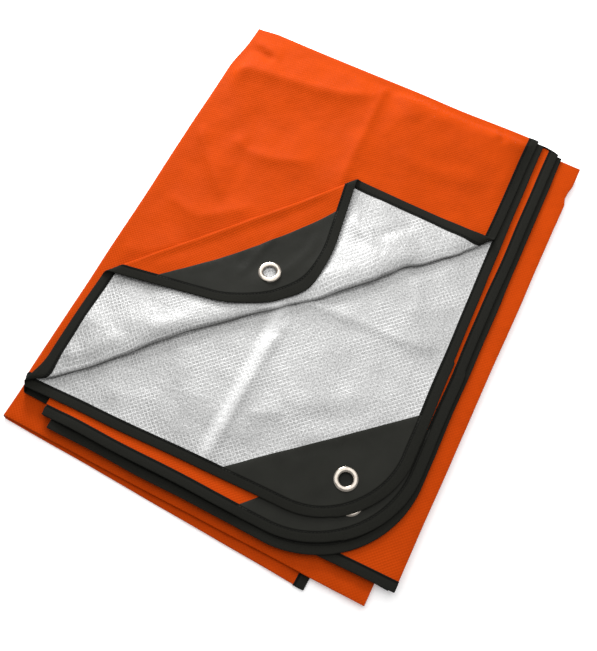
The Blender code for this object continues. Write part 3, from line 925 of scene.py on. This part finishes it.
# The second fold at the head stops one point short of the side.
shape = [smooth((i + 0.5) / HEAD_EASE) for i in range(END_COUNT + 1)]
fold_sheet((1, 16), head_edge, (0, TOP_BULGE, 0), HEAD_STEPS, shape)
fold_sheet((2, 3), lambda n: head_edge(n)[:-1], (0, SECOND_BULGE, 0), HEAD_STEPS, shape)
sheet = sheet_cloth.finished("foil_sheet", [orange_coating(), silver_film()], first_looks_down=True)
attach(sheet, "root")
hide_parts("sheet")

# ----------------------------------------------------------------------
# The binding. Woven black tape folded over the raw edge of the sheet and sewn through: along the
# feet of the upper eight plies, up the sides of the top four, and up the sides of the lowest two.

# Across the tape, from its folded outer edge: the inset, and half the thickness there. It is drawn in
# where it is sewn. Its length is measured along its TAPE_MIDDLE row.
TAPE_PROFILE = (
    (0.0, 0.06), (0.12, 0.34), (0.45, 0.55), (1.1, 0.64), (3.0, 0.68), (6.0, 0.66), (8.2, 0.62),
    (8.8, 0.46), (9.3, 0.33), (9.8, 0.46), (10.4, 0.58), (10.8, 0.58), (11.0, 0.50),
)
TAPE_WIDTH = TAPE_PROFILE[-1][0]
TAPE_MIDDLE = 5
# Where the tape is lapped: the Y, how far the upper length reaches out, and over what length.
JOINS = {2: -281.0, 3: -286.0}
JOIN_LAP, JOIN_FADE, JOIN_REACH = 1.6, 3, 40
TAPE_DARK, TAPE_LIGHT = (0.0028, 0.003, 0.0024), (0.0165, 0.0165, 0.0135)
TAPE_RIB, TAPE_PICK, TAPE_SLANT = 0.9, 0.8, 0.35
# The tape is sewn STITCH_INSET in from its edge. It is painted darker, as shade in the groove the
# stitches press, over a half width on either side of that line.
STITCH_INSET, GROOVE_SHADE_HALF = 9.4, 1.7


def corner_line(number, inset):
    """Round a bound corner. On the plies in JOINS one length of tape is lapped over the next."""
    line = border(number, inset)
    if number not in JOINS:
        return line
    across = JOINS[number]
    side = right_x(PLIES[number], across) - JOIN_REACH
    lap = JOIN_LAP * (1 - inset / TAPE_WIDTH)
    return [(x + lap * smooth((across - y) / JOIN_FADE), y) if x > side else (x, y) for x, y in line]


def foot_line(number, inset):
    """Along a ply that is bound at its foot alone."""
    ply = PLIES[number]
    left, right = left_x(ply, ply.foot_left), right_x(ply, ply.foot_right)
    ends = (left, foot_y(ply, left, inset)), (right, foot_y(ply, right, inset))
    return edge_points(*ends, round((right - left) / TAPE_STEP))


def side_line(number, inset):
    """Up a ply that is bound at its side alone, from the foot."""
    ply = PLIES[number]
    side = right_x(ply, ply.foot_right)
    foot = foot_y(ply, side)
    ends = (side - inset, foot), (right_x(ply, ply.head, inset), ply.head)
    return edge_points(*ends, round(-foot / TAPE_STEP))


def tape_rows(number, line_at):
    """Rows of spots across the tape, one for each step along it. line_at gives its line at an inset.

    A spot's flat place is its length along the middle of the tape, and its inset."""
    lines = [line_at(number, inset) for inset, _ in TAPE_PROFILE]
    made, length, before = [], 0.0, None
    for points in zip(*lines):
        places = [PLACE[number](*point) for point in points]
        middle = places[TAPE_MIDDLE]
        length += (middle - before).length if before is not None else 0.0
        before = middle
        made.append([
            Spot(place, (length, inset), half) for place, (inset, half) in zip(places, TAPE_PROFILE)
        ])
    return made


def fold_tape(cloth, upper, lower, bulge, steps, shape=lambda inset: 1.0):
    """Carries the tape round a fold between the ends of two rows. shape scales its bulge by inset."""
    shape = [shape(found.flat[1]) for found in upper]
    rows = [
        [Spot(place, (length, a.flat[1]), a.half) for (place, length), a in zip(row, upper)]
        for row in round_fold(upper, lower, bulge, steps, shape)
    ]
    rows[0], rows[-1] = upper, lower
    cloth.rows(rows)


def woven_tape():
    material, start = new_material("woven_tape", Specular_IOR_Level=0.06)
    place, along, across = flat_lengths(start)
    ribs = (along + across * TAPE_SLANT).thread(TAPE_RIB, TAPE_RIB)
    picks = (along * TAPE_SLANT - across).thread(TAPE_PICK, TAPE_PICK)
    lint = start.noise(place, 700.0, 3.0)
    weave = ribs * 0.6 + picks * 0.4
    # Painted shade: the tape is darkened towards the stitch line, in the groove it is drawn into there.
    sewn_groove_shade = (1 - start.maths("ABSOLUTE", across - STITCH_INSET) / GROOVE_SHADE_HALF).larger(0.0)
    return connect(
        material,
        Base_Color=((weave * 0.5 + lint * 0.7).smaller(1.0) * (1 - sewn_groove_shade)).blend(TAPE_DARK, TAPE_LIGHT),
        Roughness=0.72 + lint * 0.2,
        Normal=(weave + lint * 0.5).bumped(0.0002, 0.7),
    )


tape_finish = woven_tape()
foot_cloth, side_cloth, bound = Cloth(), Cloth(), {}
for number in sorted({*FOOT_BOUND, *SIDE_BOUND}):
    line_at = corner_line if number in CORNERS else foot_line if number in FOOT_BOUND else side_line
    bound[number] = tape_rows(number, line_at)
    cloth = foot_cloth if number in FOOT_BOUND[1:] else side_cloth
    cloth.rows(bound[number])
for pair in LEFT_FOLDS:
    firsts = [bound[number][0] for number in pair]
    fold_tape(foot_cloth, *firsts, (-half_gap(*pair) * SIDE_BULGE, 0, 0), LEFT_STEPS, foot_rounding)
for pair in RIGHT_FOLDS:
    lasts = [bound[number][-1] for number in pair]
    fold_tape(foot_cloth, *lasts, (half_gap(*pair), 0, 0), RIGHT_STEPS)
fold_tape(foot_cloth, bound[2][-1], bound[3][-1], (0, SECOND_BULGE, 0), RIGHT_STEPS)
fold_tape(side_cloth, bound[1][-1], bound[16][-1], (0, TOP_BULGE, 0), HEAD_STEPS)
fold_tape(side_cloth, bound[13][0], bound[16][0], (0, -half_gap(13, 16), 0), RIGHT_STEPS)
tape_foot = foot_cloth.finished("binding_foot", [tape_finish])
tape_side = side_cloth.finished("binding_side", [tape_finish])

for tape, node in ((tape_foot, "tape_foot"), (tape_side, "tape_side")):
    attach(tape, "root")
    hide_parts(node)

# ----------------------------------------------------------------------
# The stitching. One row of black lockstitch holds the binding, about 9 mm in from its edge. It
# shows on both faces of the top two plies and on the upper face of the two below them.

STITCH_LENGTH, STITCH_PITCH = 2.5, 3.4
STITCH_RADIUS, STITCH_LIFT = 0.33, 0.36
STITCH_SIDES = 5
THREAD_DARK, THREAD_LIGHT = (0.0045, 0.0045, 0.004), (0.0099, 0.0099, 0.0088)
# Along a stitch: the share of its length from its middle, and of its radius there. It lies at its
# full height where that share is LEVEL_SWELL, and sinks where it is less.
STITCH_RINGS = ((-0.5, 0.25), (-0.3, 0.95), (0.0, 1.1), (0.3, 0.95), (0.5, 0.25))
LEVEL_SWELL = 0.9


def surface_at(number, x, y, step=0.3):
    """The place of a point on a ply, and the upward normal of the ply there when it is flat."""
    place = PLACE[number]
    ahead = place(x + step, y) - place(x - step, y)
    normal = ahead.cross(place(x, y + step) - place(x, y - step)).normalized()
    return place(x, y), normal


def add_stitch(mesh, middle, along, normal):
    """One stitch: a short thread with both its ends drawn down."""
    across = along.cross(normal).normalized()
    rings = []
    for travel, swell in STITCH_RINGS:
        ring = []
        sink = normal * STITCH_RADIUS * (LEVEL_SWELL - swell) * 2
        for i in range(STITCH_SIDES):
            angle = 2 * math.pi * i / STITCH_SIDES
            arm = (across * math.cos(angle) + normal * math.sin(angle)) * STITCH_RADIUS * swell
            place = middle + along * travel * STITCH_LENGTH + arm - sink
            ring.append(mesh.verts.new((place + PILE_CORNER) * MM))
        rings.append(ring)
    for one, two in zip(rings, rings[1:]):
        for i in range(STITCH_SIDES):
            j = (i + 1) % STITCH_SIDES
            mesh.faces.new([one[i], two[i], two[j], one[j]]).smooth = True
    mesh.faces.new(rings[0])
    mesh.faces.new(rings[-1][::-1])


def sew(mesh, number, path, faces):
    """Stitches along a path on a ply."""
    spare = 0.0
    for a, b in zip(path, path[1:]):
        length = math.dist(a, b)
        travel = spare
        while travel < length:
            f = travel / length
            middle, normal = surface_at(number, lerp(a[0], b[0], f), lerp(a[1], b[1], f))
            along = (PLACE[number](*b) - PLACE[number](*a)).normalized()
            for face in faces:
                add_stitch(mesh, middle + normal * STITCH_LIFT * face, along, normal * face)
            travel += STITCH_PITCH
        spare = travel - length


thread, thread_start = new_material("thread", Roughness=0.7, Specular_IOR_Level=0.1)
ply_of_yarn = thread_start.noise(thread_start.node("ShaderNodeTexCoord", 3), 2500.0)
connect(thread, Base_Color=ply_of_yarn.blend(THREAD_DARK, THREAD_LIGHT))
stitches = bmesh.new()
for number, faces in ((1, (1, -1)), (2, (1, -1)), (3, (1,)), (4, (1,))):
    sew(stitches, number, border(number, STITCH_INSET), faces)
bmesh.ops.recalc_face_normals(stitches, faces=stitches.faces)
stitching = as_object("binding_stitches", stitches, [thread])
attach(stitching, "root")

# ----------------------------------------------------------------------
# The corner patches. Black coated cloth, a triangle on each face of the corner, sewn in under the
# binding. Its long side is turned under and left soft, and it carries the grommet.

# Half the patch's thickness: at its long side, inside that, and what the turned hem adds to it.
PATCH_EDGE_HALF, PATCH_HALF, PATCH_HEM = 0.22, 0.38, 0.10
EDGE_ROUND, HEM_WIDTH, HEM_FADE = 0.9, 9.0, 2.0
HEM_INSETS = (0.35, 0.9, 6.5, 9.5)
PATCH_UNDER_TAPE = 7.5
PATCH_PAST_TAPE = 0.8
PATCH_END_GAP = 0.5
HEM_SAG = {1: 7.0}
PATCH_STEP = 4.0
PATCH_COLUMNS, PATCH_ROWS = range(50, 100), range(75, 135)
PATCH_DARK, PATCH_LIGHT = (0.0095, 0.0097, 0.0078), (0.0185, 0.0187, 0.0152)
PATCH_WEAVE = 0.9


def patch_ends(number, inset):
    """The ends of the patch's long side on the ply's foot and side, at an inset from its edges."""
    ply, corner = PLIES[number], CORNERS[number]
    x, y = square_corner(ply, TAPE_WIDTH + PATCH_PAST_TAPE)
    x, y = x - corner.along_foot, y + corner.up_side
    return (x, foot_y(ply, x, inset)), (right_x(ply, y, inset), y)


def hem_sag(number, f):
    """How far the long side is drawn in at a share of its length. Only the turned corner's is."""
    return HEM_SAG.get(number, 0.0) * 4 * f * (1 - f)


def long_side(number, inset, count=60):
    """Points along the patch's long side, at an inset from it."""
    (ax, ay), (ux, uy) = patch_ends(number, PATCH_UNDER_TAPE)
    inward = Vector((uy - ay, ax - ux)).normalized()
    points = []
    for i in range(count + 1):
        f = i / count
        gap = inset + hem_sag(number, f)
        points.append((lerp(ax, ux, f) + inward.x * gap, lerp(ay, uy, f) + inward.y * gap))
    return points


def patch_outline(number):
    """The patch: its long side, then the two ends and the rounded corner under the binding."""
    along, up = patch_ends(number, PATCH_UNDER_TAPE)
    left, top = along[0] + PATCH_END_GAP, up[1] - PATCH_END_GAP
    edge = [(x, y) for x, y in border(number, PATCH_UNDER_TAPE) if x > left and y < top]
    return [along, *edge, *long_side(number, 0.0)[:0:-1]]


def patch_half(number):
    """Half the patch's thickness: thin at its long side, a little thicker over the turned hem."""
    (ax, ay), (ux, uy) = patch_ends(number, PATCH_UNDER_TAPE)
    span = math.dist((ax, ay), (ux, uy))

    def half(x, y):
        f = max(0.0, min(1.0, ((x - ax) * (ux - ax) + (y - ay) * (uy - ay)) / span**2))
        gap = abs((ux - ax) * (ay - y) - (ax - x) * (uy - ay)) / span - hem_sag(number, f)
        hem = PATCH_HEM * smooth((HEM_WIDTH - gap) / HEM_FADE)
        return PATCH_EDGE_HALF + (PATCH_HALF - PATCH_EDGE_HALF + hem) * smooth(gap / EDGE_ROUND)

    return half


def coated_cloth():
    material, start = new_material("coated_cloth", Specular_IOR_Level=0.07)
    place, x, y = flat_lengths(start)
    weave = (x - y).thread(PATCH_WEAVE, PATCH_WEAVE) + (x + y).thread(PATCH_WEAVE, PATCH_WEAVE)
    bloom = start.noise(place, 40.0, 3.0)
    return connect(
        material,
        Base_Color=(bloom * 0.9 + weave * 0.08).smaller(1.0).blend(PATCH_DARK, PATCH_LIGHT),
        Roughness=0.42 + bloom * 0.2,
        Normal=(weave * 0.3 + bloom * 3.0).bumped(0.0002, 0.5),
    )


patch_finish = coated_cloth()
for number in CORNERS:
    outline = patch_outline(number)
    hole = grommet_hole(number)
    points = [((i + j % 2 / 2) * PATCH_STEP, -j * PATCH_STEP) for i in PATCH_COLUMNS for j in PATCH_ROWS]
    if number == 1:
        points = [p for p in points if not near_roll(p)] + roll_points()
    for inset in HEM_INSETS:
        points += long_side(number, inset)
    points = clear_of(hole, clear_of(outline, points, least=0.25), least=1.0)
    patch_cloth = Cloth()
    patch_cloth.region(number, outline, points, patch_half(number), hole)
    patch = patch_cloth.finished(f"corner_patch_{number}", [patch_finish])
    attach(patch, "root")
    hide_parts(f"patch_{number}")

# ----------------------------------------------------------------------
# The grommets. Two-part nickel-plated brass: a domed ring whose barrel passes through the corner
# and is rolled over a flat washer on the other face.

GROMMET_SEGMENTS, GROMMET_SEAT = 72, 6.0
NICKEL_DARK, NICKEL_LIGHT = (0.27, 0.23, 0.19), (0.60, 0.55, 0.49)
# The cross-section, as radius and height over the middle of the patch: up round the dome, down the
# barrel, out round its rolled end and along the washer.
GROMMET_SECTION = (
    (12.0, 0.46), (11.95, 0.76), (11.6, 1.06), (10.95, 1.38), (10.1, 1.62), (9.2, 1.70), (8.3, 1.60),
    (7.5, 1.28), (6.95, 0.82), (6.65, 0.2), (6.6, -0.6), (6.75, -1.05), (7.2, -1.36), (7.9, -1.46),
    (8.6, -1.32), (8.9, -1.0), (9.5, -0.92), (11.1, -0.92), (11.8, -0.85), (12.0, -0.62), (12.0, -0.46),
    (8.0, -0.40), (8.0, 0.40),
)


def nickel_plate():
    material, start = new_material("nickel_plate", Metallic=1.0)
    place = start.node("ShaderNodeTexCoord", 3)
    tarnish = start.noise(place, 220.0, 3.0)
    scuffs = start.noise(place, 1600.0, 2.0)
    return connect(
        material,
        Base_Color=tarnish.blend(NICKEL_DARK, NICKEL_LIGHT),
        Roughness=0.16 + tarnish * 0.14,
        Normal=scuffs.bumped(0.00006, 0.2),
    )


grommet_finish = nickel_plate()
for number in CORNERS:
    centre, normal = surface_at(number, *grommet_spot(number), step=GROMMET_SEAT)
    arm = Vector((1, 0, 0)).cross(normal).normalized()
    other = normal.cross(arm)
    lathe = bmesh.new()
    rings = []
    for i in range(GROMMET_SEGMENTS):
        angle = 2 * math.pi * i / GROMMET_SEGMENTS
        away = arm * math.cos(angle) + other * math.sin(angle)
        rings.append([
            lathe.verts.new((centre + away * radius + normal * height + PILE_CORNER) * MM)
            for radius, height in GROMMET_SECTION
        ])
    for one, two in zip(rings, rings[1:] + rings[:1]):
        for i in range(len(GROMMET_SECTION)):
            j = (i + 1) % len(GROMMET_SECTION)
            lathe.faces.new([one[i], one[j], two[j], two[i]]).smooth = True
    bmesh.ops.recalc_face_normals(lathe, faces=lathe.faces)
    grommet = as_object(f"nickel_grommet_{number}", lathe, [grommet_finish])
    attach(grommet, "root")
    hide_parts(f"grommet_{number}")

# ----------------------------------------------------------------------
# The floor. A plain pale surface under the pile, well past what the camera sees. It glows a little:
# painted light that lifts the shadows round the pile.

FLOOR_HALF, FLOOR_DROP = 6.0, 0.0005
# Painted light: the floor's emission fills the pile's shadows on it and lights the pile a little from
# below.
glowing_floor_material, floor_start = new_material(
    "floor", Roughness=0.9, Specular_IOR_Level=0.1, Emission_Color=(1, 1, 1, 1), Emission_Strength=0.18,
)
grain = floor_start.noise(floor_start.node("ShaderNodeTexCoord", 3), 3.0)
connect(glowing_floor_material, Base_Color=grain.blend((0.96, 0.96, 0.96), (0.98, 0.98, 0.98)))
floor_mesh = bmesh.new()
bmesh.ops.create_grid(floor_mesh, x_segments=8, y_segments=8, size=FLOOR_HALF)
floor = as_object("floor", floor_mesh, [glowing_floor_material])
floor.location.z = -FLOOR_DROP

([tape_foot, tape_side, stitching]
    + [bpy.data.objects[f"corner_patch_{n}"] for n in CORNERS]
    + [bpy.data.objects[f"nickel_grommet_{n}"] for n in CORNERS])
